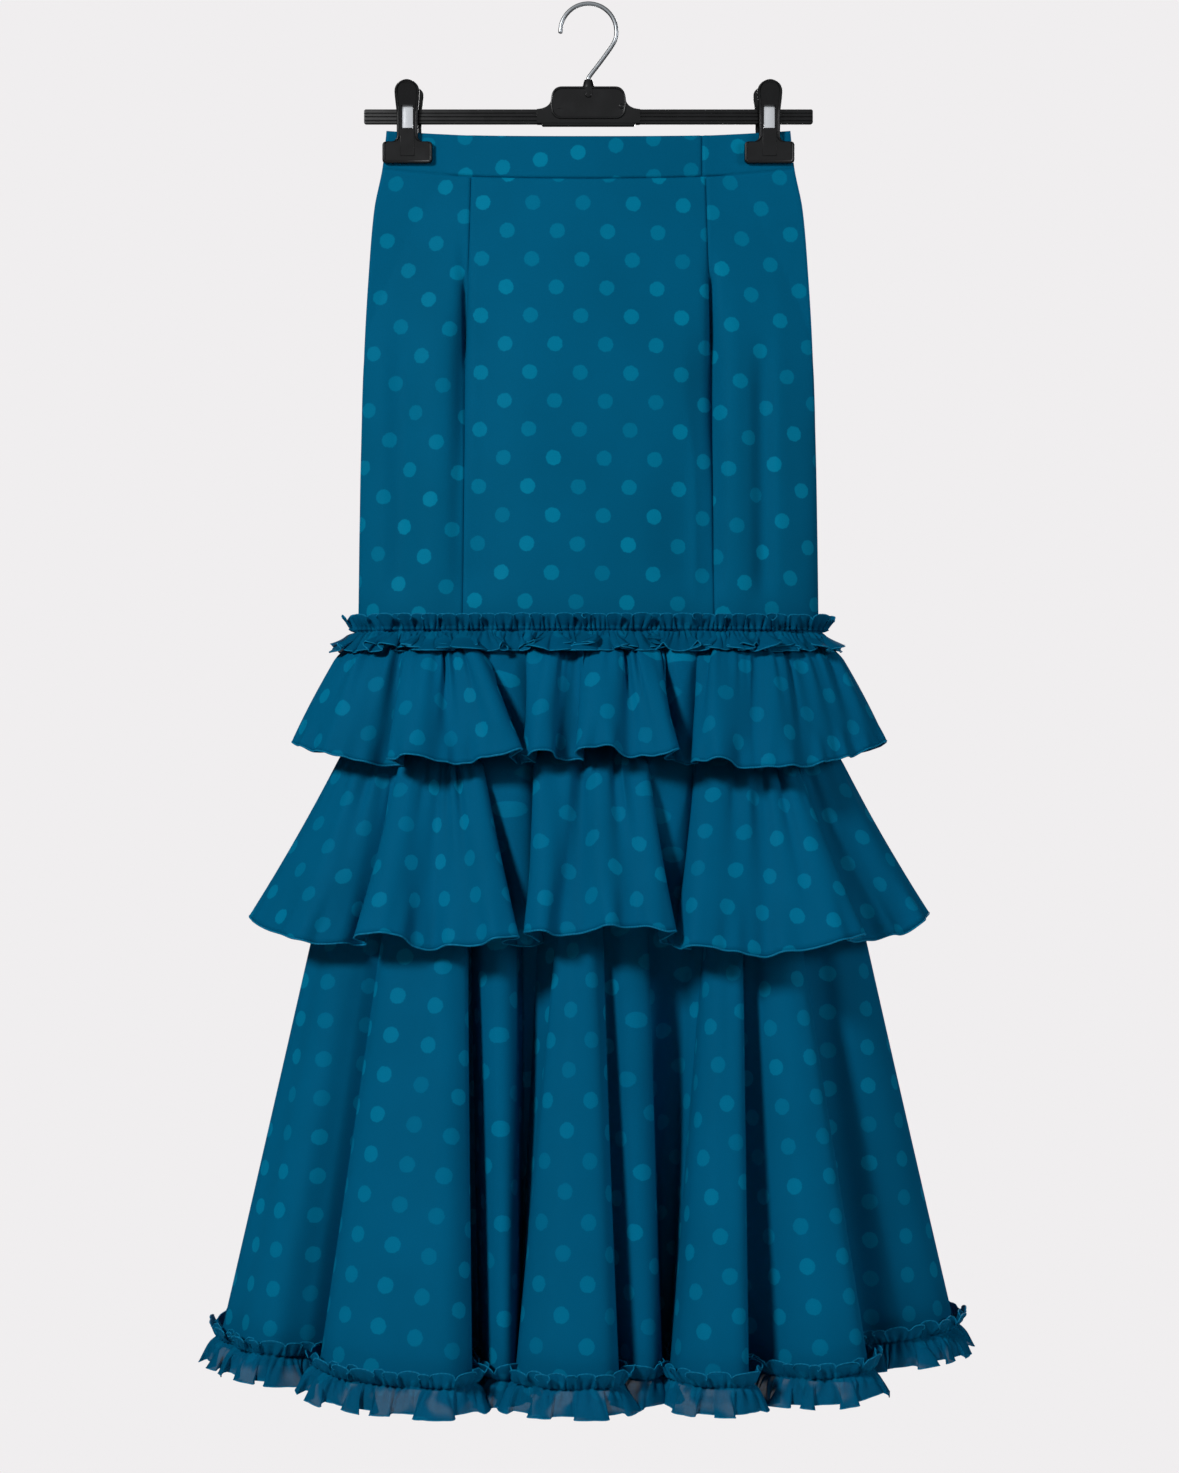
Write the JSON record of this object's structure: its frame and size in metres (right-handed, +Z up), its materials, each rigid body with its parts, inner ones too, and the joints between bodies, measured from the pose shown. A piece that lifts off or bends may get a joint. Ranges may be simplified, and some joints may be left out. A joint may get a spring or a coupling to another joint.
{
  "type": "tiered flamenco skirt on a clip hanger",
  "caption": "Close-fitting long skirt with flared tiered flounces and frilled trims, tone-on-tone dotted cloth, clamped by its waistband on a bar hanger with a wire hook.",
  "frame": {"origin": "inner top of the hanger's hook, where a rail carries it", "axes": "+Z up, -Y towards whoever faces the front of the skirt, +X to that viewer's right"},
  "size_m": [0.6495, 0.3388, 1.1597],
  "materials": {
    "body_cloth": "matt woven crepe with tone-on-tone dots",
    "flounce_cloth": "light chiffon with tone-on-tone dots and a rolled edge",
    "trim_cloth": "gathered chiffon frill",
    "black_plastic": "moulded satin black",
    "chromed_wire": "polished chromed steel"
  },
  "bodies": {
    "root": {"waistband_front_left": "body_cloth", "waistband_front_right": "body_cloth", "waistband_back": "body_cloth", "panel_side_front_left": "body_cloth", "panel_centre_front": "body_cloth", "panel_side_front_right": "body_cloth", "panel_side_back_right": "body_cloth", "panel_centre_back_right": "body_cloth", "panel_centre_back_left": "body_cloth", "panel_side_back_left": "body_cloth", "flounce_1_front": "flounce_cloth", "flounce_1_back": "flounce_cloth", "flounce_2_front": "flounce_cloth", "flounce_2_back": "flounce_cloth", "flounce_3_front": "flounce_cloth", "flounce_3_back": "flounce_cloth", "heading_trim_front": "trim_cloth", "heading_trim_back": "trim_cloth", "hem_trim_front": "trim_cloth", "hem_trim_back": "trim_cloth", "hanger_bar": "black_plastic", "hook": "chromed_wire", "clip_left_jaw_front": "black_plastic", "clip_left_jaw_back": "black_plastic", "clip_left_spring": "chromed_wire", "clip_right_jaw_front": "black_plastic", "clip_right_jaw_back": "black_plastic", "clip_right_spring": "chromed_wire"}
  },
  "joints": []
}
